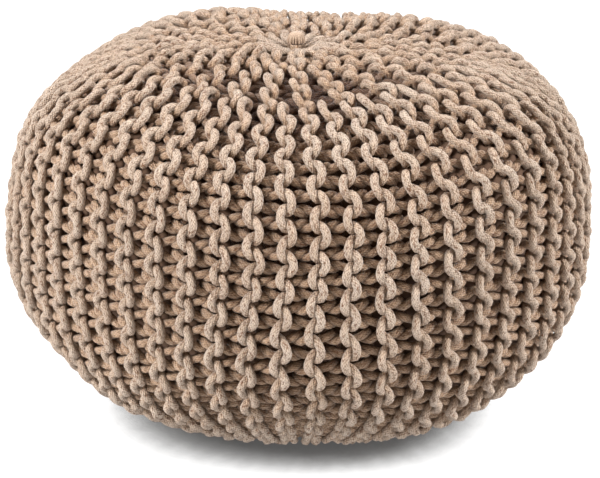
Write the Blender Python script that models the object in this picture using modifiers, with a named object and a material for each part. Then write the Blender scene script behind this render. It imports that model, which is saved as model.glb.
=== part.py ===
"""Knitted pouf: a round filled cushion in a thick garter-stitch cover, gathered at the crown.

Run with: blender --background --python part.py
Units are metres, +Z is up. The origin is the centre of the underside, on the floor.

The cover is one solid. Its outline is turned into a drum, its ridges of knitting are raised as
ribs, and its underside is settled flat on the floor. Every second ridge is a short row, which
starts a hand's width from the crown. A pleated knot closes the gathered hole on top.
"""

import bpy
import bmesh
import numpy as np
from math import atan2, cos, hypot, pi, sin

# Driving dimensions of the filled cover
POUF_RADIUS = 0.250        # half the width, over the crests of the ribs
CROWN_RISE = 0.178         # from the widest ring up to the level of the crown
CROWN_FULLNESS = 3.70      # 2 is an ellipse, more is squarer in the shoulder
WIDEST_HEIGHT = 0.145      # the widest ring above the floor
UNDER_DROP = 0.160         # how far the underside would hang if no floor held it up
UNDER_FULLNESS = 2.22
SETTLE = 0.010             # how softly the underside turns on to the floor

# The gathered hole at the crown
CROWN_SHIFT = -0.006       # it sits this far to the left of the drum's axis
CROWN_SHIFT_RADIUS = 0.200 # inside this the crown goes along with it
NAVEL_RADIUS = 0.046
NAVEL_DEPTH = 0.007
NAVEL_FLOOR_RADIUS = 0.0095

# The ridges of knitting
RIB_COUNT = 56             # around the widest ring, every second one a short row
RIB_RISE = 0.0065          # crest above valley
SHORT_ROW_START = 0.140    # radius at which the short ridges begin
SHORT_ROW_FADE = 0.022
GATHER_START = 0.024       # radius at which the long ridges rise out of the hole
GATHER_END = 0.060
UNDER_FADE_START = 0.140   # radius under the pouf at which the ribs begin to be pressed flat
UNDER_FADE_END = 0.088
UNDER_CENTRE_RADIUS = 0.062  # inside this the underside is one flat face
RIDGE_OFFSET = 0.054       # azimuth of the first long ridge; 0 is the front
FRONT_PLAY = 0.036         # radians that the ridges crowd together at front and back
RIGHT_SPREAD = 0.085       # radians that the ridges are spread at the right-hand side
CROWN_TWIST = 0.075        # radians that the ridges lag behind at the crown
TWIST_RADIUS = 0.245       # the twist is gone at this radius

# Uneven filling: how far each slow wave moves the surface, and its turns and start
LUMPS = [
    # rise in m, turns around, start in radians, turns from floor to crown
    (0.0018, 0, 3.14, 1.0),
    (0.0016, 1, -1.57, 1.0),
    (0.0014, 2, 0.6, 0.5),
    (0.0011, 3, 2.1, 1.0),
    (0.0008, 5, 4.0, 1.5),
    (0.0049, 4, -2.83, 1.0),
    (0.0017, 3, -2.37, 0.0),
    (0.0015, 1, -2.13, 0.5),
]
LUMP_FADE_HEIGHT = 0.0435  # the lumps die out from here down to the floor
LUMP_FADE_RADIUS = 0.150   # and from here in to the gathered hole

# The crown knot
KNOT_RADIUS = 0.0080
KNOT_HEIGHT = 0.0105
KNOT_FULLNESS = 2.5
KNOT_PLEATS = 18
KNOT_PLEAT_DEPTH = 0.0007
KNOT_PLEAT_FOOT = 0.0032   # below this height the pleats have their full depth
KNOT_TIP_SHARE = 0.3       # size of the small flat tip against the first ring
KNOT_RINGS = 9

# Mesh fineness
COLUMNS_PER_RIB = 4
RING_SPACING = 0.0320
NAVEL_RING_SPACING = 0.0100
COLUMNS_PER_PLEAT = 2
CLEARANCE = 0.0003         # touching pieces keep this gap

CORD_COLOUR = (0.50, 0.36, 0.26, 1.0)      # linear value of the sand-coloured cotton cord
KNOT_COLOUR = (0.46, 0.33, 0.24, 1.0)
COTTON_ROUGHNESS = 0.95


def smooth_step(value, low, high):
    """0 below low, 1 above high, with an even slope at both ends."""
    share = min(max((value - low) / (high - low), 0.0), 1.0)
    return share * share * (3.0 - 2.0 * share)


def bulge(angle, rise, fullness):
    """Radius and height of a full, rounded quarter outline; angle 0 is the widest ring."""
    radius = POUF_RADIUS * max(cos(angle), 0.0) ** (2.0 / fullness)
    height = rise * sin(angle) ** (2.0 / fullness)
    return radius, height


def settled(height):
    """Height after the floor has pressed the underside flat, with a soft turn of SETTLE."""
    if height >= SETTLE:
        return height
    if height <= -SETTLE:
        return 0.0
    return (height + SETTLE) ** 2 / (4.0 * SETTLE)


def navel_drop(radius):
    """How far the gathered hole pulls the crown down at this radius."""
    reach = smooth_step(NAVEL_RADIUS - radius, 0.0, NAVEL_RADIUS - NAVEL_FLOOR_RADIUS)
    return NAVEL_DEPTH * reach


def dense_outline(samples=600):
    """Closely spaced outline from the navel's floor over the widest ring to the flat underside."""
    points = []
    for step in range(samples + 1):
        angle = 0.5 * pi * (1.0 - step / samples)
        radius, height = bulge(angle, CROWN_RISE, CROWN_FULLNESS)
        points.append((radius, WIDEST_HEIGHT + height - navel_drop(radius)))
    for step in range(1, samples + 1):
        angle = 0.5 * pi * step / samples
        radius, height = bulge(angle, UNDER_DROP, UNDER_FULLNESS)
        points.append((radius, settled(WIDEST_HEIGHT - height)))
    return [point for point in points if point[1] > WIDEST_HEIGHT or point[0] > UNDER_CENTRE_RADIUS]


def even_outline():
    """The outline's rings: evenly spaced along the cloth, and closer in the gathered hole."""
    radii, heights = np.array([p for p in dense_outline() if p[0] >= NAVEL_FLOOR_RADIUS]).T
    arcs = np.concatenate(([0.0], np.cumsum(np.hypot(np.diff(radii), np.diff(heights)))))
    navel_arc = np.interp(NAVEL_RADIUS, radii[:np.argmax(radii)], arcs[:np.argmax(radii)])
    navel_rings = int(round(navel_arc / NAVEL_RING_SPACING))
    cover_rings = int(round((arcs[-1] - navel_arc) / RING_SPACING))
    stops = np.concatenate((
        np.linspace(0.0, navel_arc, navel_rings, endpoint=False),
        np.linspace(navel_arc, arcs[-1], cover_rings + 1),
    ))
    return list(zip(np.interp(stops, arcs, radii), np.interp(stops, arcs, heights)))


def rib_share(phase, radius, on_top):
    """Height of the ribs from 0, a valley, to 1, a crest; phase counts ribs around the pouf."""
    every_rib = 0.5 + 0.5 * cos(2.0 * pi * phase)
    long_rib = 0.5 + 0.5 * cos(pi * phase)
    all_there = smooth_step(radius, SHORT_ROW_START - SHORT_ROW_FADE, SHORT_ROW_START + SHORT_ROW_FADE)
    if on_top:
        reach = smooth_step(radius, GATHER_START, GATHER_END)
    else:
        reach = smooth_step(radius, UNDER_FADE_END, UNDER_FADE_START)
        all_there = 1.0
    share = long_rib + (every_rib - long_rib) * all_there
    return 1.0 - reach * (1.0 - share)


def ridge_azimuth(column_angle, radius, on_top):
    """Where a column of the even drum runs: close in front, loose at the right, twisted on top."""
    even = column_angle + RIDGE_OFFSET
    azimuth = even - FRONT_PLAY * sin(2.0 * even)
    azimuth += RIGHT_SPREAD * sin(even) ** 2 * 0.5 * (1.0 + sin(even))
    if on_top:
        azimuth -= CROWN_TWIST * (1.0 - smooth_step(radius, 0.0, TWIST_RADIUS))
    return azimuth


def lump(azimuth, radius, height):
    """Uneven filling: how far the surface is pushed out here."""
    rise = 0.0
    for amount, turns, start, climbs in LUMPS:
        rise += amount * cos(turns * azimuth + start) * cos(climbs * pi * height / WIDEST_HEIGHT)
    off_floor = smooth_step(height, 0.0, LUMP_FADE_HEIGHT)
    off_navel = smooth_step(radius, GATHER_START, LUMP_FADE_RADIUS)
    return rise * off_floor * off_navel


def crown_shift(radius, on_top):
    """How far to the right a point moves because the crown is drawn together off the axis."""
    return CROWN_SHIFT * (1.0 - smooth_step(radius, 0.0, CROWN_SHIFT_RADIUS)) if on_top else 0.0


def new_material(name, colour, roughness):
    material = bpy.data.materials.new(name)
    material.use_nodes = True
    shader = material.node_tree.nodes["Principled BSDF"]
    shader.inputs["Base Color"].default_value = colour
    shader.inputs["Roughness"].default_value = roughness
    shader.inputs["Metallic"].default_value = 0.0
    material.diffuse_color = colour
    return material


def turned_mesh(name, outline, steps):
    """A closed body of revolution: the outline, from top to bottom, turned by a Screw modifier."""
    top = (0.0, outline[0][1])
    bottom = (0.0, outline[-1][1])
    profile = [top] + list(outline) + [bottom]
    mesh = bpy.data.meshes.new(name + "_outline")
    vertices = [(radius, 0.0, height) for radius, height in profile]
    edges = [(index, index + 1) for index in range(len(profile) - 1)]
    mesh.from_pydata(vertices, edges, [])
    turned = bpy.data.objects.new(name + "_outline", mesh)
    bpy.context.scene.collection.objects.link(turned)
    screw = turned.modifiers.new("turn", "SCREW")
    screw.axis = "Z"
    screw.angle = 2.0 * pi
    screw.steps = steps
    screw.render_steps = steps
    screw.use_merge_vertices = True
    screw.merge_threshold = 0.00001
    graph = bpy.context.evaluated_depsgraph_get()
    result = bpy.data.meshes.new_from_object(turned.evaluated_get(graph))
    result.name = name
    bpy.data.objects.remove(turned)
    bpy.data.meshes.remove(mesh)
    return result


def cover_point(point, outward):
    """Move one point of the even drum on to the uneven, ribbed surface."""
    radius = hypot(point.x, point.y)
    on_top = point.z > WIDEST_HEIGHT
    column_angle = atan2(point.x, -point.y)
    phase = column_angle * RIB_COUNT / (2.0 * pi)
    azimuth = ridge_azimuth(column_angle, radius, on_top)
    slope_out = hypot(outward.x, outward.y)
    push = lump(azimuth, radius, point.z) - RIB_RISE * (1.0 - rib_share(phase, radius, on_top))
    new_radius = radius + push * slope_out
    new_height = max(point.z + push * outward.z, 0.0)
    across = new_radius * sin(azimuth) + crown_shift(radius, on_top)
    return across, -new_radius * cos(azimuth), new_height


def centre_on_floor(cover, knot):
    """Put the middle of the cover's plan on the origin, and keep the knot in its place on it."""
    for axis in (0, 1):
        low = min(vertex.co[axis] for vertex in cover.data.vertices)
        high = max(vertex.co[axis] for vertex in cover.data.vertices)
        for piece in (cover, knot):
            for vertex in piece.data.vertices:
                vertex.co[axis] -= 0.5 * (low + high)


def make_cover(collection):
    """The filled cover: one closed solid with raised ribs."""
    mesh = turned_mesh("pouf_cover", even_outline(), RIB_COUNT * COLUMNS_PER_RIB)
    shape = bmesh.new()
    shape.from_mesh(mesh)
    bmesh.ops.recalc_face_normals(shape, faces=shape.faces)
    shape.normal_update()
    on_axis = 0.5 * NAVEL_FLOOR_RADIUS
    moved = {}
    for vertex in shape.verts:
        if hypot(vertex.co.x, vertex.co.y) > on_axis:
            moved[vertex] = cover_point(vertex.co, vertex.normal)
        else:
            vertex.co.x += crown_shift(0.0, vertex.co.z > WIDEST_HEIGHT)
    for vertex, place in moved.items():
        vertex.co = place
    shape.to_mesh(mesh)
    shape.free()
    material = new_material("cotton cord", CORD_COLOUR, COTTON_ROUGHNESS)
    return add_piece("pouf_cover", mesh, collection, material)


def make_knot(collection):
    """The crown knot: a pleated dome that stands on the floor of the gathered hole."""
    outline = []
    for ring in range(1, KNOT_RINGS):
        angle = 0.5 * pi * (1.0 - ring / (KNOT_RINGS - 1))
        radius = KNOT_RADIUS * max(cos(angle), 0.0) ** (2.0 / KNOT_FULLNESS)
        outline.append((radius, KNOT_HEIGHT * sin(angle) ** (2.0 / KNOT_FULLNESS)))
    outline.insert(0, (KNOT_TIP_SHARE * outline[0][0], KNOT_HEIGHT))
    mesh = turned_mesh("crown_knot", outline, COLUMNS_PER_PLEAT * KNOT_PLEATS)
    base = WIDEST_HEIGHT + CROWN_RISE - NAVEL_DEPTH + CLEARANCE
    shape = bmesh.new()
    shape.from_mesh(mesh)
    bmesh.ops.recalc_face_normals(shape, faces=shape.faces)
    for vertex in shape.verts:
        angle = atan2(vertex.co.y, vertex.co.x)
        low_down = 1.0 - smooth_step(vertex.co.z, KNOT_PLEAT_FOOT, KNOT_HEIGHT)
        pleat = KNOT_PLEAT_DEPTH * low_down * (0.5 - 0.5 * cos(KNOT_PLEATS * angle))
        radius = hypot(vertex.co.x, vertex.co.y)
        if radius > pleat:
            vertex.co.x *= 1.0 - pleat / radius
            vertex.co.y *= 1.0 - pleat / radius
        vertex.co.x += CROWN_SHIFT
        vertex.co.z += base
    shape.to_mesh(mesh)
    shape.free()
    material = new_material("knotted cotton", KNOT_COLOUR, COTTON_ROUGHNESS)
    return add_piece("crown_knot", mesh, collection, material)


def add_piece(name, mesh, collection, material):
    """A named object in the part's collection, shaded smooth, with its own material."""
    piece = bpy.data.objects.new(name, mesh)
    collection.objects.link(piece)
    piece.data.materials.clear()
    piece.data.materials.append(material)
    piece.data.shade_smooth()
    return piece


def main():
    for leftover in list(bpy.data.objects):
        bpy.data.objects.remove(leftover)
    collection = bpy.data.collections.new("knitted_pouf")
    bpy.context.scene.collection.children.link(collection)
    cover = make_cover(collection)
    knot = make_knot(collection)
    centre_on_floor(cover, knot)


main()
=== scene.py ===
import math

import bmesh
import bpy
import numpy as np
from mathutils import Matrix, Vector


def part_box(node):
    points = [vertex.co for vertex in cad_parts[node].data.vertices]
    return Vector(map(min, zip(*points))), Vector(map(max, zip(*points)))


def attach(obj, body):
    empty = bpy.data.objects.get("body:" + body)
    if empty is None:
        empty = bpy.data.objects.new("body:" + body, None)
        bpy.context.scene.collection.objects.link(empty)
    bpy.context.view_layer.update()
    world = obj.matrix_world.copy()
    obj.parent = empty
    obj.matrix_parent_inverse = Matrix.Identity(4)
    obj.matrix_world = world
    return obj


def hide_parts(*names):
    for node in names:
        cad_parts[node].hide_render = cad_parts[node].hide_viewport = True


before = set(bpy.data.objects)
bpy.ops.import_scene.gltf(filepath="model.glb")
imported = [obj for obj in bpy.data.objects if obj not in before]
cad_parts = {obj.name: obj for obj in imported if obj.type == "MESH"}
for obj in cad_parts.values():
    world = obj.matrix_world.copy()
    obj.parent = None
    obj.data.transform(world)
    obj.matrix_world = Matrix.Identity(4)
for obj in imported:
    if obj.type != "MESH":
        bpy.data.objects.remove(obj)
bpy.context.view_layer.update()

# ------------------------------------------------------------------ the filled bag
# A plain-woven cotton bag, stuffed with beads until it is firm, gives the pouf its shape. Only
# glimpses of it show between the stitches. The cover lies on it, so its outline comes first: a
# squarish crown with a drawn-in middle, a rounder underside, and a flat spot on the floor.

# all sizes are in metres and all angles in radians, unless their comment says otherwise
POUF_RADIUS = 0.250        # to the crests of the knitting
WIDEST_HEIGHT = 0.145      # of the widest ring, above the floor
CROWN_RISE = 0.178         # from the widest ring up to the crown
CROWN_FULLNESS = 3.70      # power of the quarter outline: 2 is a quarter ellipse, more is squarer
UNDER_DROP = 0.160         # from the widest ring down, if nothing pressed on the underside
UNDER_FULLNESS = 2.22
SETTLE = 0.010             # height over which the underside turns flat on the floor
NAVEL_RADIUS = 0.046       # the middle of the crown is drawn in from here
NAVEL_DEPTH = 0.007
NAVEL_FLOOR_RADIUS = 0.0095
CROWN_SHIFT = -0.006       # the gathered hole sits this far to the left of the drum's axis
CROWN_SHIFT_RADIUS = 0.200
LUMPS = [
    # height of a slow wave, waves around, start, half waves from the floor to the widest ring
    (0.0018, 0, 3.14, 1.0),
    (0.0016, 1, -1.57, 1.0),
    (0.0014, 2, 0.6, 0.5),
    (0.0011, 3, 2.1, 1.0),
    (0.0008, 5, 4.0, 1.5),
    (0.0049, 4, -2.83, 1.0),
    (0.0017, 3, -2.37, 0.0),
    (0.0015, 1, -2.13, 0.5),
]
LUMPS_FROM_POLE = (0.024, 0.150)     # radii between which the waves grow to their full height
LUMPS_FROM_FLOOR = 0.3               # the same upwards, as a share of WIDEST_HEIGHT
BAG_DEPTH = 0.0190         # the bag lies this far inside the crests of the knitting
BAG_COLUMNS = 144
BAG_RINGS = 72
PUCKERS = 18               # folds round each gathered end of the bag
PUCKER_DEPTH = 0.0012
PUCKER_REACH = (0.05, 0.20)          # lengths from the end between which the folds run out
SLACK_DEPTH = 0.0008       # the rest of the cloth isn't quite even either


def smooth_step(value, low, high):
    """0 below low, 1 above high, with an even slope at both ends."""
    share = np.clip((value - low) / (high - low), 0.0, 1.0)
    return share * share * (3.0 - 2.0 * share)


def quarter(fullness, samples=400):
    """Radius and height shares of a rounded quarter outline, from the pole to the widest ring."""
    half_way = 0.5 ** (1.0 / fullness)
    short = np.linspace(0.0, half_way, samples)
    long = (1.0 - short ** fullness) ** (1.0 / fullness)
    return np.concatenate((short, long[-2::-1])), np.concatenate((long, short[-2::-1]))


def outline():
    """Length along the cloth, radius and height, from the crown's centre to the underside's."""
    radius_share, height_share = quarter(CROWN_FULLNESS)
    crown_radii = POUF_RADIUS * radius_share
    drop = NAVEL_DEPTH * smooth_step(NAVEL_RADIUS - crown_radii, 0.0, NAVEL_RADIUS - NAVEL_FLOOR_RADIUS)
    crown_heights = WIDEST_HEIGHT + CROWN_RISE * height_share - drop
    radius_share, height_share = quarter(UNDER_FULLNESS)
    under_radii = POUF_RADIUS * radius_share[::-1]
    hanging = WIDEST_HEIGHT - UNDER_DROP * height_share[::-1]
    pressed = (hanging + SETTLE) ** 2 / (4.0 * SETTLE)
    under_heights = np.where(hanging > SETTLE, hanging, np.where(hanging < -SETTLE, 0.0, pressed))
    radii = np.concatenate((crown_radii, under_radii[1:]))
    heights = np.concatenate((crown_heights, under_heights[1:]))
    lengths = np.concatenate(([0.0], np.cumsum(np.hypot(np.diff(radii), np.diff(heights)))))
    return lengths, radii, heights


# the drum's axis, found from the knot that stands beside it
knot_low, knot_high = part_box("crown_knot")
axis_x = 0.5 * (knot_low[0] + knot_high[0]) - CROWN_SHIFT
axis_y = 0.5 * (knot_low[1] + knot_high[1])

lengths, radii, heights = outline()
MERIDIAN = lengths[-1]
out_from_axis = -np.gradient(heights, lengths)
out_upwards = np.gradient(radii, lengths)


def on_pouf(length, azimuth, depth):
    """Points of the pouf: length along a meridian, azimuth (0 is the front), depth under the crests."""
    radius = np.interp(length, lengths, radii)
    height = np.interp(length, lengths, heights)
    climb = np.pi * height / WIDEST_HEIGHT
    rise = 0.0
    for amount, turns, start, climbs in LUMPS:
        rise = rise + amount * np.cos(turns * azimuth + start) * np.cos(climbs * climb)
    rise = rise * smooth_step(climb, 0.0, LUMPS_FROM_FLOOR * np.pi) * smooth_step(radius, *LUMPS_FROM_POLE)
    push = rise - depth
    shift = CROWN_SHIFT * (1.0 - smooth_step(radius, 0.0, CROWN_SHIFT_RADIUS)) * (height > WIDEST_HEIGHT)
    radius = radius + push * np.interp(length, lengths, out_from_axis)
    height = height + push * np.interp(length, lengths, out_upwards)
    across = axis_x + shift + radius * np.sin(azimuth)
    return np.stack((across, axis_y - radius * np.cos(azimuth), height), axis=-1)


def linear(hex_colour):
    """Linear colour from an sRGB hex value."""
    channels = [int(hex_colour[i:i + 2], 16) / 255.0 for i in (1, 3, 5)]
    return [c / 12.92 if c <= 0.04045 else ((c + 0.055) / 1.055) ** 2.4 for c in channels] + [1.0]


def node(tree, kind, settings=None, **links):
    """Adds a node. settings are its properties; links are inputs by name, or by number as _0."""
    made = tree.nodes.new(kind)
    for name, value in (settings or {}).items():
        setattr(made, name, value)
    for name, value in links.items():
        key = int(name[1:]) if name[0] == "_" else name.replace("_", " ")
        socket = made.inputs[key]
        if isinstance(value, bpy.types.NodeSocket):
            tree.links.new(value, socket)
        else:
            socket.default_value = value
    return made


def new_material(name):
    """An empty node material and its tree."""
    material = bpy.data.materials.new(name)
    material.use_nodes = True
    material.node_tree.nodes.clear()
    return material, material.node_tree


def show(name, data):
    """Puts a new object with this data into the scene, at the origin."""
    made = bpy.data.objects.new(name, data)
    bpy.context.scene.collection.objects.link(made)
    return made


def woven_cotton():
    """Plain-woven cotton, washed: matt, a little faded in patches. Its dark dull brown is painted shade for
    the gaps it shows through; the cloth itself is paler.
    """
    faded_patch = 0.026
    thread_spacing = 0.0011          # real ones are 0.4 mm apart, which would be too fine to show
    material, tree = new_material("woven_cotton")
    place = node(tree, "ShaderNodeTexCoord").outputs["Object"]
    cloud = node(tree, "ShaderNodeTexNoise", Vector=place, Scale=1.0 / faded_patch, Detail=3.0)
    # painted shade: the bag is coloured the dark brown of the shaded gaps in the knitting, not its own
    # paler colour
    colour = node(tree, "ShaderNodeValToRGB", Fac=cloud.outputs["Fac"])
    colour.color_ramp.elements[0].color = linear("#4a3222")
    colour.color_ramp.elements[1].color = linear("#6a4f3b")
    thread = node(tree, "ShaderNodeTexNoise", Vector=place, Scale=1.0 / thread_spacing, Detail=2.0)
    bump = node(tree, "ShaderNodeBump", Strength=0.4, Distance=0.0006, Height=thread.outputs["Fac"])
    shader = node(
        tree, "ShaderNodeBsdfPrincipled", Base_Color=colour.outputs["Color"], Roughness=0.95,
        Sheen_Weight=0.2, Sheen_Roughness=0.5, Normal=bump.outputs["Normal"],
    )
    node(tree, "ShaderNodeOutputMaterial", Surface=shader.outputs["BSDF"])
    return material


def closed_form(name, rings, top, base, material):
    """A smooth mesh through rings of points, from its top point down to its base point or last ring."""
    shape = bmesh.new()
    loops = [[shape.verts.new(point) for point in ring] for ring in rings]
    crown = shape.verts.new(top)
    foot = shape.verts.new(base) if base is not None else None
    for column in range(len(loops[0])):
        after = (column + 1) % len(loops[0])
        shape.faces.new((crown, loops[0][column], loops[0][after]))
        for upper, lower in zip(loops, loops[1:]):
            shape.faces.new((upper[column], lower[column], lower[after], upper[after]))
        if foot:
            shape.faces.new((foot, loops[-1][after], loops[-1][column]))
    if not foot:
        shape.faces.new(loops[-1])
    bmesh.ops.recalc_face_normals(shape, faces=shape.faces)
    mesh = bpy.data.meshes.new(name)
    shape.to_mesh(mesh)
    shape.free()
    mesh.shade_smooth()
    mesh.materials.append(material)
    return show(name, mesh)


def make_bag():
    """The bag with the shallow puckers of a gathered drum."""
    stops = np.linspace(0.0, MERIDIAN, BAG_RINGS + 2)[1:-1]
    turns = np.linspace(0.0, 2.0 * np.pi, BAG_COLUMNS, endpoint=False)
    length, azimuth = np.meshgrid(stops, turns, indexing="ij")
    near_end = 1.0 - smooth_step(np.minimum(length, MERIDIAN - length), *PUCKER_REACH)
    pucker = PUCKER_DEPTH * near_end * np.cos(PUCKERS * azimuth + np.sin(3.0 * azimuth))
    slack = SLACK_DEPTH * np.sin(7.0 * azimuth + 40.0 * length) * np.sin(31.0 * length + 2.0 * azimuth)
    rings = on_pouf(length, azimuth, BAG_DEPTH + pucker + slack)
    top, base = on_pouf(np.array((0.0, MERIDIAN)), np.zeros(2), BAG_DEPTH)
    return closed_form("filled_bag", rings, top, base, woven_cotton())


bag = make_bag()
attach(bag, "root")
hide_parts("pouf_cover")

# ------------------------------------------------------------------ the knitted cover
# Garter stitch in a thick soft cord of braided cotton, knitted sideways: the rows run up and down
# the pouf, two to a ridge. Every second ridge is short, and turns back a hand's width before the
# crown or the middle of the underside, where the edge loops of the others are drawn together.

# How the cord lies in a stitch is found as in the real thing: a springy cord of fixed length and
# thickness bends as little as it can while it touches the loops that it is caught in. Every second
# row is turned over, so its loops come to the front where those of the first go to the back.
CORD_DIAMETER = 0.0066
STITCH_WIDTH = 0.0228      # along the row, so up and down the pouf
STITCH_CORD = 0.080        # cord in one stitch
STITCH_POINTS = 40
REST_SPACING = 0.0131      # between rows, where the knitting is neither stretched nor gathered
ROW_SPACINGS = (REST_SPACING, 0.0155, 0.0180)
LOOP_CURL = 0.28           # first guess of a stitch: its legs curl in by this share of its width,
LOOP_REACH = 0.8           # it reaches this share of a row spacing to both sides,
LOOP_DEPTH = 0.0042        # and stands out this far to the front and the back
FIRST_ROUNDS = 700         # rounds of settling, first at rest and then at each step of the stretch
STRETCH_ROUNDS = 120
STRETCH_STEPS = 3
UNBEND = 0.25              # share of its bend that the cord loses in a round
RECOIL = 0.45              # share of its stretch, several times in a round
LENGTH_ROUNDS = 4
PUSH_APART = 0.6           # share of its overlap with other cords
PRESS_FLAT = 0.997         # the filled bag presses the stitch flat
OWN_REACH = 1.6            # diameters along the cord within which it can't touch itself
NEAR_ROWS = 3              # rows to each side that it can touch


def settle(path, spacing, rounds):
    """Lets the cord of one stitch come to rest among its neighbours, rows lying spacing apart."""
    count = len(path)
    order = np.arange(count)
    pitch = np.array((STITCH_WIDTH, 0.0, 0.0))
    piece = STITCH_CORD / count
    reach = int(np.ceil(OWN_REACH * CORD_DIAMETER / piece))
    for _ in range(rounds):
        # it unbends a little
        chain = np.vstack((path[-2:] - pitch, path, path[:2] + pitch))
        bend = (chain[:-2] + chain[2:]) / 2.0 - chain[1:-1]
        path = path - UNBEND * ((bend[:-2] + bend[2:]) / 2.0 - bend[1:-1])
        # it keeps its length
        for _ in range(LENGTH_ROUNDS):
            steps = np.vstack((path[1:], path[:1] + pitch)) - path
            size = np.linalg.norm(steps, axis=1, keepdims=True)
            pull = RECOIL * steps * (size - piece) / size
            path = path + pull - np.roll(pull, 1, axis=0)
        # it moves off the stitches around it, but not off its own nearest points
        others, same = [], []
        for row in range(-NEAR_ROWS, NEAR_ROWS + 1):
            for turn in (-1, 0, 1):
                facing = -1.0 if row % 2 else 1.0
                others.append(path * (1.0, 1.0, facing) + (turn * STITCH_WIDTH, row * spacing, 0.0))
                apart = np.abs(order[:, None] - (order[None] + turn * count))
                same.append((apart <= reach) & (row == 0))
        others, same = np.concatenate(others), np.concatenate(same, axis=1)
        away = path[:, None] - others[None]
        distance = np.sqrt((away ** 2).sum(axis=2)) + 1e-9
        overlap = np.where(same | (distance >= CORD_DIAMETER), 0.0, (CORD_DIAMETER - distance) / 2.0)
        touching = np.maximum((overlap > 0.0).sum(axis=1, keepdims=True), 1)
        path = path + PUSH_APART * (away / distance[..., None] * overlap[..., None]).sum(axis=1) / touching
        path[:, 2] *= PRESS_FLAT
        path[:, 1] -= path[:, 1].mean()
        # both halves of a stitch are alike
        mirrored = path[(-order) % count] * (-1.0, 1.0, 1.0)
        mirrored[1:, 0] += STITCH_WIDTH
        path = (path + mirrored) / 2.0
    return path


def stitch_family():
    """The resting stitch at each of ROW_SPACINGS, from relaxed to stretched."""
    t = np.arange(STITCH_POINTS) / STITCH_POINTS
    x = STITCH_WIDTH * (t + LOOP_CURL * np.sin(4.0 * np.pi * t))
    y = -LOOP_REACH * REST_SPACING * np.cos(2.0 * np.pi * t)
    z = -LOOP_DEPTH * np.cos(2.0 * np.pi * t)
    path = settle(np.stack((x, y, z), axis=1), REST_SPACING, FIRST_ROUNDS)
    family = [path]
    now = REST_SPACING
    for goal in ROW_SPACINGS[1:]:
        for step in range(STRETCH_STEPS):
            spacing = now + (goal - now) / STRETCH_STEPS
            path = settle(path * (1.0, spacing / now, 1.0), spacing, STRETCH_ROUNDS)
            now = spacing
        family.append(path)
    return np.array(family)


stitches = stitch_family()

RIDGES = 56
ROWS = 2 * RIDGES
RIDGE_OFFSET = 0.054       # azimuth of the first ridge
FRONT_PLAY = 0.036         # ridges are closer together at front and back than at the sides
RIGHT_SPREAD = 0.085       # and loosest at the front right
CROWN_TWIST = 0.075        # the ridges lag behind by this at the crown
TWIST_RADIUS = 0.245       # and by nothing from here on
CROWN_GATHER = 0.031       # from the crown's centre to the first stitch of a long row
BASE_GATHER = 0.036        # the same at the middle of the underside
LONG_STITCHES = 25
PITCHES = (
    # length along the meridian, length of a stitch there: drawn together at the crown, loose on the
    # shoulder, tight round the flank
    (0.031, 0.0200), (0.060, 0.0245), (0.120, 0.0250), (0.160, 0.0285), (0.225, 0.0285), (0.262, 0.0240),
    (0.310, 0.0219), (0.350, 0.0219), (0.400, 0.0248), (0.435, 0.0270), (0.480, 0.0245), (0.668, 0.0260),
)
SKIPPED = 5                # stitches that a short row leaves out at each end
OPENING = (0.120, 0.166)   # lengths from each pole between which the short rows open up
CROWDING = (0.035, 0.080)  # lengths between which every second long ridge comes up from under the rest
CROWDED_OUT = 0.6          # share of its width that it has lost to them above
SUNK = 0.007               # and how far it lies under them there

# Where the stitches lie differently: lengths from the crown, or for the sides the sine of the
# azimuth, between which each zone fades in or out.
CROWN_ZONE = (0.110, 0.190)
SHOULDER_ZONE = (0.200, 0.260)
FLOOR_ZONE = (0.460, 0.520)
LEFT_ZONE = (0.15, 0.75)
RIGHT_ZONE = (0.00, 0.60)
SIDE_ZONE = (0.25, 0.80)
GATHERED_ZONE = (0.050, 0.120)
# The same within a stitch: how far the cord stands out, as a share of the crest.
FRONT_ZONE = (-0.3, 0.7)
LEG_ZONE = (0.1, 0.8)

# What the filled cover does to the stitch at rest, as shares unless it says otherwise.
NARROWEST = 0.3            # a ridge can be drawn together to this share of its width,
NARROWING = 0.7            # its loops narrow with this power of it,
STANDING = 0.6             # and stand up with this power of its inverse,
STANDING_UNTIL = 0.5       # down to this
RELIEF = 1.15              # the cover is less flat than the stitch at rest,
FLATTER_SIDES = 0.12       # though it loses some at both sides,
FLATTER_LEFT = 0.16        # more at the left,
FLATTER_FLOOR = 0.30       # and most where the weight presses
CREST_DEPTH = 0.6 * CORD_DIAMETER    # from the outline to the cord's centre at a crest
VALLEY = 0.0006            # m that the legs lie deeper,
VALLEY_RIGHT = 0.4         # more at the right
VALLEY_CROWN = 2.0         # and most on the crown
ARCH = 0.0009              # m that a loop in front is rounder, twice that on the shoulder and the sides
ARCH_MIDDLE = 0.3          # its middle goes out by this much of it, its ends come in by more
DOME = 0.0008              # m that its ends lie lower than its middle,
CROWN_DOME = 0.0014        # still more on the crown
LEAN = 0.36                # the loops in front lean like the strands of a rope:
LEAN_RIGHT = (1.25, 0.65)  # at the right, those of a ridge's first and second row,
LEAN_LEFT = -0.3           # a little the other way at the left,
LEAN_CROWN = 0.8           # and all of them on the crown
OVERLAP = (0.10, 0.05)     # each loop's upper end lies over the one before, in both rows
ROPE = 0.08                # on the crown the loops of a ridge close up into a rope
PAIRING = 0.50             # the legs of neighbouring loops lie together, with slits between the pairs
SAG = 0.0013               # m that the loops in front hang lower than the legs behind them
THICKNESS = 1.05           # of the cord, in diameters:
FULL_LOOPS = 0.18          # it is pulled thin in the legs and full in the loops,
FULL_SHOULDER = 0.17       # fuller where nothing stretches the cover
FULL_CROWN = 0.16
FULL_LEFT = 0.06
DRIFT_ALONG = (0.0016, 0.11, 3)      # slow waviness: amount in m, wave length, seed
DRIFT_ACROSS = (0.07, 0.16, 5)       # this amount is in ridges
DRIFT_DEPTH = (0.0008, 0.09, 9)
DRIFT_WAVES = 5            # so many waves of random slant make up each,
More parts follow.
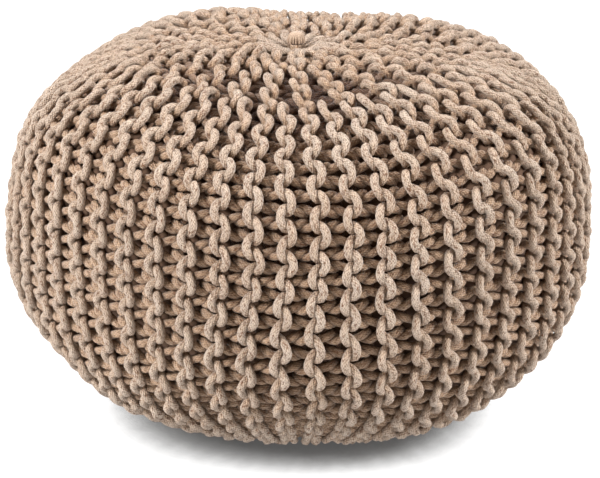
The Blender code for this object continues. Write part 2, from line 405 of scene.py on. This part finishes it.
DRIFT_PEAK = 2.2           # and seldom add up to more than this
WOBBLE = (0.05, 0.06, 0.0003, 0.0004)     # how much stitches differ in reach, relief, depth, place
UNEVEN = np.random.RandomState(7)

MESH_POINTS = 25           # rings of cord for each stitch
CROWD = 0.045              # share of a stitch by which they crowd towards the front
CORD_SIDES = 7
RIDGES_IN_PIECE = 8
SWELLING = 0.011           # the sleeve swells and thins along such a length,
SWOLLEN = 0.10             # by up to half this share


def stitch_lengths():
    """Where each stitch of a long row begins, as a length along the meridian."""
    grid = np.linspace(CROWN_GATHER, MERIDIAN - BASE_GATHER, 500)
    local = np.interp(grid, [place for place, pitch in PITCHES], [pitch for place, pitch in PITCHES])
    count = np.concatenate(([0.0], np.cumsum(2.0 / (local[1:] + local[:-1]))))
    return np.interp(np.arange(LONG_STITCHES + 1), count * LONG_STITCHES / count[-1], grid)


stitch_starts = stitch_lengths()


def length_at(stitches_in):
    """Length along the meridian after a number of stitches of a long row."""
    return np.interp(stitches_in, np.arange(LONG_STITCHES + 1), stitch_starts)


def ridge_azimuth(rho, length):
    """Azimuth of a place counted in ridges, at a length along the meridian."""
    even = 2.0 * np.pi * rho / RIDGES + RIDGE_OFFSET
    azimuth = even - FRONT_PLAY * np.sin(2.0 * even)
    azimuth = azimuth + RIGHT_SPREAD * np.sin(even) ** 2 * (1.0 + np.sin(even)) / 2.0
    radius = np.interp(length, lengths, radii)
    on_top = length < lengths[np.argmax(radii)]
    return azimuth - on_top * CROWN_TWIST * (1.0 - smooth_step(radius, 0.0, TWIST_RADIUS))


def ridge_width(rho, length):
    """Width of one ridge of the even drum, at this place."""
    step = ridge_azimuth(rho + 0.5, length) - ridge_azimuth(rho - 0.5, length)
    return step * np.interp(length, lengths, radii)


def drift(length, rho, amount, wave_length, seed):
    """Slow waviness over the whole cover, the same for stitches that touch."""
    waves = np.random.RandomState(seed)
    total = 0.0
    for _ in range(DRIFT_WAVES):
        along = waves.uniform(0.5, 1.3) / wave_length
        around = waves.randint(2, 9)
        total = total + np.sin(2.0 * np.pi * (along * length + around * rho / RIDGES + waves.uniform()))
    return amount * total / DRIFT_PEAK


def resting_stitch(share, spacing):
    """The settled stitch at shares of its cord, for rows this far apart, and the height of its crest."""
    kinds = np.arange(len(ROW_SPACINGS))
    place = np.clip(np.interp(spacing, ROW_SPACINGS, kinds), 0, len(kinds) - 1 - 1e-6)
    kind = place.astype(int)
    mix = place - kind
    point = share * STITCH_POINTS
    lower = np.floor(point).astype(int) % STITCH_POINTS
    upper = (lower + 1) % STITCH_POINTS
    blend = (point - np.floor(point))[:, None]
    wrap = (upper < lower)[:, None] * np.array((STITCH_WIDTH, 0.0, 0.0))
    crests = stitches[:, :, 2].max(axis=1)
    path, crest = 0.0, 0.0
    for which, weight in ((kind, 1.0 - mix), (kind + 1, mix)):
        here = stitches[which, lower]
        following = stitches[which, upper] + wrap
        path = path + weight[:, None] * (here + (following - here) * blend)
        crest = crest + weight * crests[which]
    return path, crest


def row_path(row):
    """The cord of one row from crown to underside: length, place in ridges, depth and thickness."""
    purl = row % 2 == 1
    facing = -1.0 if purl else 1.0
    # the ridge that it belongs to at its upper end, and the turn that it belongs to at its lower end
    top_centre = row // 2
    low_centre = (row + 1) // 2 - 0.5
    long_top = top_centre % 2 == 0
    long_low = ((row - 1) // 2) % 2 == 1
    sunk = top_centre % 4 == 2
    first = 0 if long_top else SKIPPED
    last = LONG_STITCHES - (0 if long_low else SKIPPED)
    # how far along the row each point is, in stitches, with more points where the loops stand out
    even = np.arange(MESH_POINTS) / MESH_POINTS
    crowd = facing * CROWD * np.sin(2.0 * np.pi * even)
    t = np.concatenate([even + crowd + i for i in range(first, last)] + [[float(last)]])
    stitch = np.floor(t + 1e-9).astype(int)
    rough_length = length_at(t)
    rho_row = 0.5 * row - 0.25
    # a short row opens up after its turn, and until then the long ones take its width
    open_top = smooth_step(rough_length, *OPENING)
    open_low = smooth_step(MERIDIAN - rough_length, *OPENING)
    wide_top = (2.0 - open_top) if long_top else open_top
    wide_low = (2.0 - open_low) if long_low else open_low
    crowded = 1.0 - smooth_step(rough_length, *CROWDING)
    if long_top:
        wide_top = wide_top * (1.0 + (-CROWDED_OUT if sunk else CROWDED_OUT) * crowded)
    spacing = 0.5 * ridge_width(rho_row, rough_length) * wide_top * wide_low
    path, crest = resting_stitch(t - stitch, spacing)

    # how much of each zone is at each point
    side = np.sin(ridge_azimuth(rho_row, rough_length))
    on_crown = 1.0 - smooth_step(rough_length, *CROWN_ZONE)
    on_shoulder = 1.0 - smooth_step(rough_length, *SHOULDER_ZONE)
    near_floor = smooth_step(rough_length, *FLOOR_ZONE)
    at_left = smooth_step(-side, *LEFT_ZONE)
    at_right = smooth_step(side, *RIGHT_ZONE)
    sideways = smooth_step(np.abs(side), *SIDE_ZONE)
    # no stitch is quite like the next
    loose = UNEVEN.normal(size=(4, LONG_STITCHES + 2))
    middles = np.arange(-0.5, LONG_STITCHES + 1)
    reach_off, relief_off, depth_off, place_off = [
        amount * np.interp(t, middles, values) for amount, values in zip(WOBBLE, loose)
    ]

    # where the ridges are drawn together they become narrower and stand up
    squeeze = np.clip(spacing / REST_SPACING, NARROWEST, 1.0)
    used = np.minimum(spacing, ROW_SPACINGS[-1])
    across = 0.5 * path[:, 1] * squeeze ** NARROWING / used * (1.0 + reach_off)
    flatter = 1.0 - FLATTER_SIDES * np.abs(side) - FLATTER_LEFT * at_left - FLATTER_FLOOR * near_floor
    upright = RELIEF * np.maximum(squeeze, STANDING_UNTIL) ** -STANDING * flatter
    crest = crest * upright
    proud = path[:, 2] * upright * facing * (1.0 + relief_off)

    # the loops in front lean, are rounder than at rest, and their upper ends lie on top
    in_front = smooth_step(proud / crest, *FRONT_ZONE)
    along = path[:, 0] - STITCH_WIDTH * (np.round(path[:, 0] / STITCH_WIDTH) if purl else 0.5)
    lean = LEAN * np.maximum(LEAN_RIGHT[purl] * at_right + LEAN_LEFT * at_left, LEAN_CROWN * on_crown)
    arch = in_front * (np.cos(math.pi * along / (0.5 * STITCH_WIDTH)) - 1.0 + ARCH_MIDDLE)
    rounder = ARCH * (1.0 + np.maximum(sideways, on_shoulder))
    across = across + 0.5 * (lean * along * in_front + facing * rounder * arch) / used
    proud = proud + (DOME + CROWN_DOME * on_crown) * (arch - ARCH_MIDDLE * in_front)
    proud = proud - OVERLAP[purl] * along * in_front
    forward = np.clip(proud / crest, -1.0, 1.0)
    lowered = VALLEY * (1.0 + VALLEY_RIGHT * side + VALLEY_CROWN * on_crown) * (1.0 - forward ** 2)
    depth = crest + CREST_DEPTH - proud + lowered + depth_off

    # the legs lie in pairs
    turns_in = path[:, 0] / STITCH_WIDTH
    paired = PAIRING * (1.0 - smooth_step(np.abs(proud) / crest, *LEG_ZONE))
    turns_in = turns_in + paired * np.sin(4.0 * math.pi * turns_in) / (4.0 * math.pi)
    length = length_at(stitch + turns_in) + SAG * in_front + place_off

    # and each point finds its place among the other rows
    rho = rho_row + across
    rho = rho - ROPE * on_crown * in_front * (rho - top_centre)
    spread = (rho - top_centre) * (wide_top - 1.0) + (rho - low_centre) * (wide_low - 1.0)
    length = length + drift(length, rho, *DRIFT_ALONG)
    rho = rho + spread + drift(length, rho, *DRIFT_ACROSS)
    depth = depth + drift(length, rho, *DRIFT_DEPTH)
    if sunk:
        depth = depth + SUNK * crowded
    fullness = FULL_SHOULDER * on_shoulder * smooth_step(rough_length, *GATHERED_ZONE) + FULL_LEFT * at_left
    thickness = THICKNESS + FULL_LOOPS * forward + fullness + FULL_CROWN * on_crown * (1.0 + arch)
    return np.stack((length, rho, depth, thickness), axis=1)


def smooth_run(points, samples=5):
    """Points on a smooth curve through the given ones, ends left out."""
    points = np.array(points)
    run = []
    for i in range(1, len(points) - 2):
        a, b, c, d = points[i - 1:i + 3]
        for step in range(samples):
            t = step / samples
            run.append(0.5 * (2.0 * b + (c - a) * t + (2 * a - 5 * b + 4 * c - d) * t * t
                              + (3 * b - a - 3 * c + d) * t ** 3))
    return np.array(run[1:])


def top_turn(knit, purl, ridge):
    """The cord at the upper end of a ridge, from its front row's start to its back row's start."""
    front, back = purl[0], knit[0]
    if ridge % 2:
        hook = [
            # how far before the row's start, how far across in ridges, depth, thickness
            (0.0080, -0.02, 0.0036, 1.0),
            (0.0145, 0.06, 0.0060, 1.0),
            (0.0150, 0.16, 0.0115, 0.97),
        ]
        middle = [(front[0] - far, front[1] + side, deep, thick) for far, side, deep, thick in hook]
    else:
        # every second long ridge ends a little further out, under its neighbours
        upper = ridge % 4 == 0
        tip = 0.0112 if upper else 0.0200
        sink = 0.0 if upper else 0.0060
        strand = [
            # length along the meridian, how far across in ridges, depth, thickness
            (0.025, 0.15, 0.0033 + sink, 0.94),
            (0.019, 0.06, 0.0034 + sink, 0.84),
            (0.5 * tip + 0.010, 0.00, 0.0036 + sink, 0.76),
            (tip, 0.00, 0.0062 + sink, 0.68),
            (tip, 0.00, 0.0120 + sink, 0.70),
            (0.024, 0.05, 0.0140 + sink, 0.85),
        ]
        middle = [(far, ridge + side, deep, thick) for far, side, deep, thick in strand]
    return smooth_run([purl[1], front] + middle + [back, knit[1]])


def low_turn(purl, knit, centre, short):
    """The cord at the lower end, from a front row's end to the next back row's end."""
    front, back = purl[-1], knit[-1]
    if short:
        hook = [
            # how far past the row's end, how far across in ridges, depth, thickness
            (0.0070, 0.10, 0.0050, 1.0),
            (0.0100, 0.25, 0.0090, 1.0),
            (0.0070, 0.35, 0.0140, 0.97),
        ]
        middle = [(front[0] + far, front[1] + side, deep, thick) for far, side, deep, thick in hook]
    else:
        strand = [
            # how far from the underside's middle, how far across in ridges, depth, thickness
            (0.034, -0.10, 0.0040, 1.0),
            (0.022, 0.00, 0.0045, 0.95),
            (0.010, 0.00, 0.0060, 0.80),
            (0.010, 0.00, 0.0110, 0.80),
            (0.024, 0.00, 0.0140, 0.90),
        ]
        middle = [(MERIDIAN - far, centre + side, deep, thick) for far, side, deep, thick in strand]
    return smooth_run([purl[-2], front] + middle + [back, knit[-2]])


SHALLOWEST = 0.0008        # the cord's centre comes no nearer to the crests than this
CROWN_SHADE = 0.35         # painted shade: light falls straight down on the crown, so its gaps are painted darker still
CROWN_SHADE_ZONE = (0.120, 0.240)


def cord_runs():
    """Centre line, thickness and painted-shade depth of the cord, in pieces of RIDGES_IN_PIECE ridges."""
    rows = [row_path(row) for row in range(ROWS)]
    for start in range(0, RIDGES, RIDGES_IN_PIECE):
        run = []
        for ridge in range(start, start + RIDGES_IN_PIECE):
            knit, purl = rows[2 * ridge], rows[2 * ridge + 1]
            run += [knit[::-1], top_turn(knit, purl, ridge)[::-1], purl]
            if ridge + 1 < start + RIDGES_IN_PIECE:
                run.append(low_turn(purl, rows[2 * ridge + 2], ridge + 0.5, ridge % 2 == 0))
        length, rho, depth, thickness = np.concatenate(run).T
        points = on_pouf(length, ridge_azimuth(rho, length), np.maximum(depth, SHALLOWEST))
        on_crown = 1.0 - smooth_step(length, *CROWN_SHADE_ZONE)
        # the last value is painted shade: how deep the cord lies, more on the crown, sets how dark it is
        # coloured
        yield points, thickness, depth * (1.0 + CROWN_SHADE * on_crown)


def cotton_cord():
    """Soft cotton cord with a braided sleeve, undyed: matt, sand-coloured, with painted shade between
    strands and deep in the knitting.
    """
    strands_around = 10              # so each is about 2 mm wide
    crossing_spacing = 0.0025        # 2.5 mm along the cord, a little coarser than real, to show
    stray_amount = 0.0030            # strands stray from their lay by up to half of this,
    stray_length = 0.0030            # back and forth within 3 mm
    fibre_tuft = 0.00053             # the fuzz is drawn as tufts of half a millimetre, to show
    # size of the random patches with more or fewer painted-shade specks
    speck_patch = 0.0019
    tone_patch = 0.018
    material, tree = new_material("braided_cotton_cord")
    place = node(tree, "ShaderNodeTexCoord").outputs["Object"]
    # the cord as if it lay straight: x and y across it, z along it
    straight = node(tree, "ShaderNodeAttribute", {"attribute_name": "straight_cord"}).outputs["Vector"]
    part = node(tree, "ShaderNodeSeparateXYZ", Vector=straight)
    around = node(
        tree, "ShaderNodeMath", {"operation": "ARCTAN2"}, _0=part.outputs["Y"], _1=part.outputs["X"],
    )
    strands = node(
        tree, "ShaderNodeMath", {"operation": "MULTIPLY"},
        _0=around.outputs[0], _1=strands_around / 2.0,
    )
    slack = node(tree, "ShaderNodeTexNoise", Vector=straight, Scale=1.0 / stray_length, Detail=1.0)
    drawn = node(
        tree, "ShaderNodeMath", {"operation": "MULTIPLY_ADD"},
        _0=slack.outputs["Fac"], _1=stray_amount, _2=part.outputs["Z"],
    )
    climb = node(
        tree, "ShaderNodeMath", {"operation": "MULTIPLY"},
        _0=drawn.outputs[0], _1=math.pi / crossing_spacing,
    )
    # strands wind around it both ways and cross
    lays = []
    for direction in ("ADD", "SUBTRACT"):
        lean = node(
            tree, "ShaderNodeMath", {"operation": direction}, _0=strands.outputs[0], _1=climb.outputs[0],
        )
        wave = node(tree, "ShaderNodeMath", {"operation": "SINE"}, _0=lean.outputs[0])
        lays.append(wave.outputs[0])
    cross = node(tree, "ShaderNodeMath", {"operation": "MULTIPLY"}, _0=lays[0], _1=lays[1])
    size = node(tree, "ShaderNodeMath", {"operation": "ABSOLUTE"}, _0=cross.outputs[0])
    braid = node(tree, "ShaderNodeMath", {"operation": "POWER"}, _0=size.outputs[0], _1=0.7)
    fibre = node(
        tree, "ShaderNodeTexNoise", Vector=straight, Scale=1.0 / fibre_tuft, Detail=3.0, Roughness=0.65,
    )
    relief = node(
        tree, "ShaderNodeMath", {"operation": "MULTIPLY_ADD"},
        _0=fibre.outputs["Fac"], _1=0.55, _2=braid.outputs[0],
    )
    bump = node(tree, "ShaderNodeBump", Strength=1.0, Distance=0.0013, Height=relief.outputs[0])
    # dark specks: painted shade where the strands dip, and random flecks in the fuzz, more of them in
    # random patches
    patch = node(
        tree, "ShaderNodeTexNoise", Vector=straight, Scale=1.0 / speck_patch, Detail=2.0, Roughness=0.6,
    )
    blotch = node(tree, "ShaderNodeMapRange", Value=patch.outputs["Fac"], From_Min=0.30, From_Max=0.58)
    dip = node(
        tree, "ShaderNodeMath", {"operation": "MULTIPLY"}, _0=relief.outputs[0], _1=blotch.outputs[0],
    )
    speck = node(tree, "ShaderNodeMapRange", Value=dip.outputs[0], From_Min=0.0, From_Max=0.68)
    tone = node(tree, "ShaderNodeTexNoise", Vector=place, Scale=1.0 / tone_patch, Detail=3.0)
    ground = node(tree, "ShaderNodeValToRGB", Fac=tone.outputs["Fac"])
    ground.color_ramp.elements[0].position = 0.30
    ground.color_ramp.elements[0].color = linear("#d2beab")
    ground.color_ramp.elements[1].position = 0.70
    ground.color_ramp.elements[1].color = linear("#e2d0be")
    # painted shade: the cord is coloured warmer and darker towards the back of the knitting, where the
    # light only comes from other cords
    painted_shade_depth = node(tree, "ShaderNodeAttribute", {"attribute_name": "painted_shade_depth"})
    deep = node(tree, "ShaderNodeMapRange", Value=painted_shade_depth.outputs["Fac"], From_Min=0.002, From_Max=0.019)
    shade = node(tree, "ShaderNodeValToRGB", Fac=deep.outputs[0])
    shade.color_ramp.elements[0].color = linear("#ffffff")
    shade.color_ramp.elements[1].color = linear("#553218")
    # painted shade at the depth of the legs: only a little darker and warmer than at the crests
    legs = shade.color_ramp.elements.new(0.48)
    legs.color = linear("#eed9c3")
    shaded = node(
        tree, "ShaderNodeMix", {"data_type": "RGBA", "blend_type": "MULTIPLY"},
        _0=1.0, _6=ground.outputs["Color"], _7=shade.outputs["Color"],
    )
    # painted shade: the dark speck colour where the strands dip
    colour = node(
        tree, "ShaderNodeMix", {"data_type": "RGBA"},
        _0=speck.outputs[0], _6=linear("#7c5232"), _7=shaded.outputs[2],
    )
    shader = node(
        tree, "ShaderNodeBsdfPrincipled", Base_Color=colour.outputs[2], Roughness=0.92,
        Sheen_Weight=0.25, Sheen_Roughness=0.45, Normal=bump.outputs["Normal"],
    )
    node(tree, "ShaderNodeOutputMaterial", Surface=shader.outputs["BSDF"])
    return material


def cord_tree(material):
    """Geometry nodes: a round cord is swept along the centre line, with its own straight coordinates."""
    tree = bpy.data.node_groups.new("cord_along_rows", "GeometryNodeTree")
    face = tree.interface
    face.new_socket("Centre Line", in_out="INPUT", socket_type="NodeSocketGeometry")
    face.new_socket("Cord Diameter", in_out="INPUT", socket_type="NodeSocketFloat")
    face.new_socket("Sides", in_out="INPUT", socket_type="NodeSocketInt")
    face.new_socket("Unevenness", in_out="INPUT", socket_type="NodeSocketFloat")
    face.new_socket("Seed", in_out="INPUT", socket_type="NodeSocketFloat")
    face.new_socket("Cord", in_out="OUTPUT", socket_type="NodeSocketGeometry")
    given = node(tree, "NodeGroupInput").outputs
    half = node(tree, "ShaderNodeMath", {"operation": "MULTIPLY"}, _0=given["Cord Diameter"], _1=0.5)
    # how far along, measured before the sweep
    along = node(tree, "GeometryNodeSplineParameter").outputs["Length"]
    chain = node(tree, "GeometryNodeMeshToCurve", Mesh=given["Centre Line"])
    line = node(
        tree, "GeometryNodeCaptureAttribute", {"domain": "POINT"}, Geometry=chain.outputs["Curve"],
    )
    line.capture_items.new("FLOAT", "along")
    tree.links.new(along, line.inputs["along"])
    # the radius at each point is its stored thickness, a little uneven along the sleeve
    spot = node(tree, "ShaderNodeCombineXYZ", X=along, Y=given["Seed"])
    swell = node(tree, "ShaderNodeTexNoise", Vector=spot.outputs[0], Scale=1.0 / SWELLING, Detail=1.0)
    centred = node(tree, "ShaderNodeMath", {"operation": "SUBTRACT"}, _0=swell.outputs["Fac"], _1=0.5)
    amount = node(
        tree, "ShaderNodeMath", {"operation": "MULTIPLY_ADD"},
        _0=centred.outputs[0], _1=given["Unevenness"], _2=1.0,
    )
    stored = node(tree, "GeometryNodeInputNamedAttribute", {"data_type": "FLOAT"}, Name="thickness")
    swollen = node(
        tree, "ShaderNodeMath", {"operation": "MULTIPLY"},
        _0=stored.outputs["Attribute"], _1=amount.outputs[0],
    )
    thick = node(
        tree, "GeometryNodeSetCurveRadius", Curve=line.outputs["Geometry"], Radius=swollen.outputs[0],
    )
    # the cord's round section, which remembers the direction of each of its points
    ring = node(
        tree, "GeometryNodeCurvePrimitiveCircle", {"mode": "RADIUS"},
        Resolution=given["Sides"], Radius=half.outputs[0],
    )
    where = node(tree, "GeometryNodeInputPosition").outputs["Position"]
    section = node(
        tree, "GeometryNodeCaptureAttribute", {"domain": "POINT"}, Geometry=ring.outputs["Curve"],
    )
    section.capture_items.new("VECTOR", "direction")
    tree.links.new(where, section.inputs["direction"])
    swept = node(
        tree, "GeometryNodeCurveToMesh",
        Curve=thick.outputs["Curve"], Profile_Curve=section.outputs["Geometry"], Fill_Caps=True,
    )
    flat = node(tree, "ShaderNodeSeparateXYZ", Vector=section.outputs["direction"])
    straight = node(
        tree, "ShaderNodeCombineXYZ", X=flat.outputs["X"], Y=flat.outputs["Y"], Z=line.outputs["along"],
    )
    named = node(
        tree, "GeometryNodeStoreNamedAttribute", {"data_type": "FLOAT_VECTOR", "domain": "POINT"},
        Geometry=swept.outputs["Mesh"], Name="straight_cord", Value=straight.outputs[0],
    )
    # what meets the floor is pressed flat on it
    low = node(tree, "ShaderNodeSeparateXYZ", Vector=where)
    lifted = node(tree, "ShaderNodeMath", {"operation": "MAXIMUM"}, _0=low.outputs["Z"], _1=0.0)
    rested = node(
        tree, "ShaderNodeCombineXYZ", X=low.outputs["X"], Y=low.outputs["Y"], Z=lifted.outputs[0],
    )
    placed = node(
        tree, "GeometryNodeSetPosition", Geometry=named.outputs["Geometry"], Position=rested.outputs[0],
    )
    smooth = node(tree, "GeometryNodeSetShadeSmooth", Geometry=placed.outputs["Geometry"])
    real = node(tree, "GeometryNodeRealizeInstances", Geometry=smooth.outputs["Geometry"])
    finished = node(
        tree, "GeometryNodeSetMaterial", Geometry=real.outputs["Geometry"], Material=material,
    )
    node(tree, "NodeGroupOutput", Cord=finished.outputs["Geometry"])
    return tree


def set_input(modifier, name, value):
    """Sets a geometry nodes input by its socket's identifier."""
    for item in modifier.node_group.interface.items_tree:
        if item.name == name and item.in_out == "INPUT":
            modifier[item.identifier] = value


def plain_mesh(source, name):
    """Turns an object with live modifiers into a plain mesh object at the origin."""
    graph = bpy.context.evaluated_depsgraph_get()
    mesh = bpy.data.meshes.new_from_object(source.evaluated_get(graph))
    mesh.name = name
    bpy.data.objects.remove(source)
    return show(name, mesh)


def store(mesh, name, values):
    """Stores one number for each point of a mesh."""
    stored = mesh.attributes.new(name, "FLOAT", "POINT")
    stored.data.foreach_set("value", np.asarray(values, dtype=np.float32))


def sweep(name, points, thickness, painted_shade_depth, tree, seed):
    """A cord piece: its centre line as a chain of edges, which the tree sweeps."""
    mesh = bpy.data.meshes.new(name + "_line")
    mesh.from_pydata(points.tolist(), [(i, i + 1) for i in range(len(points) - 1)], [])
    store(mesh, "thickness", thickness)
    # painted shade: how dark the cord's colour is painted at each point
    store(mesh, "painted_shade_depth", painted_shade_depth)
    source = show(name + "_line", mesh)
    modifier = source.modifiers.new("cord", "NODES")
    modifier.node_group = tree
    set_input(modifier, "Cord Diameter", CORD_DIAMETER)
    set_input(modifier, "Sides", CORD_SIDES)
    set_input(modifier, "Unevenness", SWOLLEN)
    set_input(modifier, "Seed", float(seed))
    return plain_mesh(source, name)


cord_nodes = cord_tree(cotton_cord())
for number, (line, thickness, painted_shade_depth) in enumerate(cord_runs()):
    knitting = sweep(f"knitted_ridges_{number + 1}", line, thickness, painted_shade_depth, cord_nodes, number)
    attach(knitting, "root")
    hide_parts("pouf_cover")

# ------------------------------------------------------------------ the crown knot
# The drawn-together loops are covered by a small knob of gathered cotton, domed on top and pleated
# round its rim, bound underneath and pulled down into the hole.

KNOT_PLEATS = 17
KNOT_COLUMNS = 12 * KNOT_PLEATS
KNOT_RINGS = 30
KNOT_TUCK = 1.18           # quarter turns from the top over the rim to the drawn-in underside
RIM_HEIGHT = 0.14          # of the rim, as a share of the knob's height
PLEAT_DEPTH = 0.16         # share of the radius
PLEAT_SHARES = (0.08, 0.85)          # shares of the way down between which the pleats deepen


def gathered_cotton():
    """Gathered cotton of the same lot as the cord: matt, with painted shade in its pleats and towards its
    drawn-in underside.
    """
    fibre_tuft = 0.00067             # coarser than real, to show
    material, tree = new_material("gathered_cotton")
    place = node(tree, "ShaderNodeTexCoord").outputs["Object"]
    fibre = node(
        tree, "ShaderNodeTexNoise", Vector=place, Scale=1.0 / fibre_tuft, Detail=3.0, Roughness=0.6,
    )
    bump = node(tree, "ShaderNodeBump", Strength=0.6, Distance=0.0004, Height=fibre.outputs["Fac"])
    yarn = node(tree, "ShaderNodeValToRGB", Fac=fibre.outputs["Fac"])
    yarn.color_ramp.elements[0].position = 0.30
    yarn.color_ramp.elements[0].color = linear("#7a6250")
    yarn.color_ramp.elements[1].position = 0.62
    yarn.color_ramp.elements[1].color = linear("#c2aa94")
    # painted shade: darker in the pleats and towards the underside
    pleat_shade = node(tree, "ShaderNodeAttribute", {"attribute_name": "pleat_shade"})
    colour = node(
        tree, "ShaderNodeMix", {"data_type": "RGBA"},
        _0=pleat_shade.outputs["Fac"], _6=yarn.outputs["Color"], _7=linear("#4f331d"),
    )
    shader = node(
        tree, "ShaderNodeBsdfPrincipled", Base_Color=colour.outputs[2], Roughness=0.92,
        Sheen_Weight=0.25, Sheen_Roughness=0.45, Normal=bump.outputs["Normal"],
    )
    node(tree, "ShaderNodeOutputMaterial", Surface=shader.outputs["BSDF"])
    return material


def make_knot():
    """The knob: a dome whose pleats deepen towards its drawn-in rim."""
    middle_x, middle_y = 0.5 * (knot_low[0] + knot_high[0]), 0.5 * (knot_low[1] + knot_high[1])
    width = 0.5 * (knot_high[0] - knot_low[0])
    tall = knot_high[2] - knot_low[2]
    quarter_turn = 0.5 * math.pi
    rings, pleats = [], []
    for way_down in (ring / KNOT_RINGS for ring in range(1, KNOT_RINGS + 1)):
        angle = quarter_turn * KNOT_TUCK * way_down
        past_rim = max(angle - quarter_turn, 0.0)
        bulge = math.sin(min(angle, quarter_turn)) ** 0.8 * (1.0 - 0.9 * past_rim)
        if past_rim:
            rise = RIM_HEIGHT * (1.0 - past_rim / (quarter_turn * (KNOT_TUCK - 1.0)))
        else:
            rise = RIM_HEIGHT + (1.0 - RIM_HEIGHT) * math.cos(angle)
        deepened = float(smooth_step(way_down, *PLEAT_SHARES))
        ring = []
        for turn in (2.0 * math.pi * column / KNOT_COLUMNS for column in range(KNOT_COLUMNS)):
            # no two pleats are drawn in alike
            wander = 0.9 * math.sin(3.0 * turn) + 0.6 * math.sin(7.0 * turn + 1.0 + way_down)
            groove = (0.5 - 0.5 * math.cos(KNOT_PLEATS * turn + wander)) ** 1.5
            groove = groove * (0.75 + 0.25 * math.sin(5.0 * turn + 2.0))
            radius = width * bulge * (1.0 - PLEAT_DEPTH * deepened * groove)
            x, y = middle_x + radius * math.sin(turn), middle_y - radius * math.cos(turn)
            ring.append((x, y, knot_low[2] + tall * rise))
            # painted shade: deeper in each pleat's groove and towards the drawn-in underside
            pleats.append(groove * deepened + 0.5 * way_down ** 4)
        rings.append(ring)
    top = (middle_x, middle_y, knot_high[2])
    knot = closed_form("knot_of_gathered_cotton", rings, top, None, gathered_cotton())
    store(knot.data, "pleat_shade", pleats + [0.0])
    return knot


knot = make_knot()
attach(knot, "root")
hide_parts("crown_knot")

# ------------------------------------------------------------------ the studio
# A sheet of white paper, a large soft light from each side and a weaker one from above, in a room
# with pale walls and a dim ceiling. The camera is that of the photograph: a long lens a metre and
# a half away, looking down at the pouf at 21 degrees.

CAMERA_DISTANCE = 1.500
CAMERA_ELEVATION = 21.3    # degrees
CAMERA_LENS = 101.8        # mm
CAMERA_ROLL = 0.52         # degrees
CAMERA_LEFT = 0.0011       # of the pouf's axis
CAMERA_AIM_LOW = 0.0062    # below the widest ring
FLOOR_REACH = 12.0
CONTACT_SHADOW = 0.042     # the paper's glow is darkened by a painted contact shadow where the pouf is nearer than this
WALL_TOP = (0.20, 0.30)    # heights on a ball of radius 1 between which wall turns to ceiling


def add_light(name, size, power, place, aim):
    """A soft round light that points at aim."""
    data = bpy.data.lights.new(name, "AREA")
    data.shape = "DISK"
    data.size = size
    data.energy = power
    light = show(name, data)
    light.location = place
    light.rotation_euler = (Vector(aim) - Vector(place)).to_track_quat("-Z", "Y").to_euler()


def white_paper():
    """White paper under strong light: it glows evenly, but for a painted contact shadow close to the pouf.
    """
    material, tree = new_material("white_paper")
    open_sky = node(tree, "ShaderNodeAmbientOcclusion", {"samples": 12}, Distance=CONTACT_SHADOW)
    # painted shadow: the glow fades where the pouf stands close over the paper
    glow = node(
        tree, "ShaderNodeMapRange", Value=open_sky.outputs["AO"],
        From_Min=0.24, From_Max=0.64, To_Min=0.08, To_Max=1.0,
    )
    shader = node(
        tree, "ShaderNodeBsdfPrincipled", Base_Color=linear("#666666"), Roughness=0.9,
        Emission_Color=linear("#ffffff"), Emission_Strength=glow.outputs[0],
    )
    node(tree, "ShaderNodeOutputMaterial", Surface=shader.outputs["BSDF"])
    return material


def make_floor():
    """One wide flat sheet."""
    mesh = bpy.data.meshes.new("studio_floor")
    corners = [(FLOOR_REACH * x, FLOOR_REACH * y, 0.0) for x, y in ((-1, -1), (1, -1), (1, 1), (-1, 1))]
    mesh.from_pydata(corners, [], [(0, 1, 2, 3)])
    mesh.materials.append(white_paper())
    floor = show("studio_floor", mesh)


make_floor()
middle = (0.0, 0.0, WIDEST_HEIGHT)
add_light("window_left", 1.0, 119.0, (-2.0, -1.25, 1.6), middle)
add_light("overhead", 1.2, 30.0, (-0.5, 0.6, 2.2), middle)
add_light("fill_right", 0.8, 102.0, (2.2, -0.6, 1.55), middle)

world = bpy.data.worlds.new("studio_air")
bpy.context.scene.world = world
world.use_nodes = True
air = world.node_tree
direction = node(air, "ShaderNodeTexCoord").outputs["Object"]
upwards = node(air, "ShaderNodeSeparateXYZ", Vector=direction)
above_wall = node(
    air, "ShaderNodeMapRange", Value=upwards.outputs["Z"], From_Min=WALL_TOP[0], From_Max=WALL_TOP[1],
)
wall_and_ceiling = node(air, "ShaderNodeValToRGB", Fac=above_wall.outputs[0])
wall_and_ceiling.color_ramp.elements[0].color = linear("#e8dbc9")
wall_and_ceiling.color_ramp.elements[1].color = linear("#4a3d2f")
air.links.new(wall_and_ceiling.outputs["Color"], air.nodes["Background"].inputs["Color"])

elevation = math.radians(CAMERA_ELEVATION)
camera_data = bpy.data.cameras.new("camera")
camera_data.lens = CAMERA_LENS
camera_data.sensor_width = 36.0
camera = show("camera", camera_data)
camera.location = (
    axis_x - CAMERA_LEFT,
    axis_y - CAMERA_DISTANCE * math.cos(elevation),
    WIDEST_HEIGHT - CAMERA_AIM_LOW + CAMERA_DISTANCE * math.sin(elevation),
)
camera.rotation_euler = (0.5 * math.pi - elevation, 0.0, 0.0)
camera.rotation_euler.rotate_axis("Z", math.radians(CAMERA_ROLL))
bpy.context.scene.camera = camera
bpy.context.scene.view_settings.view_transform = "Standard"
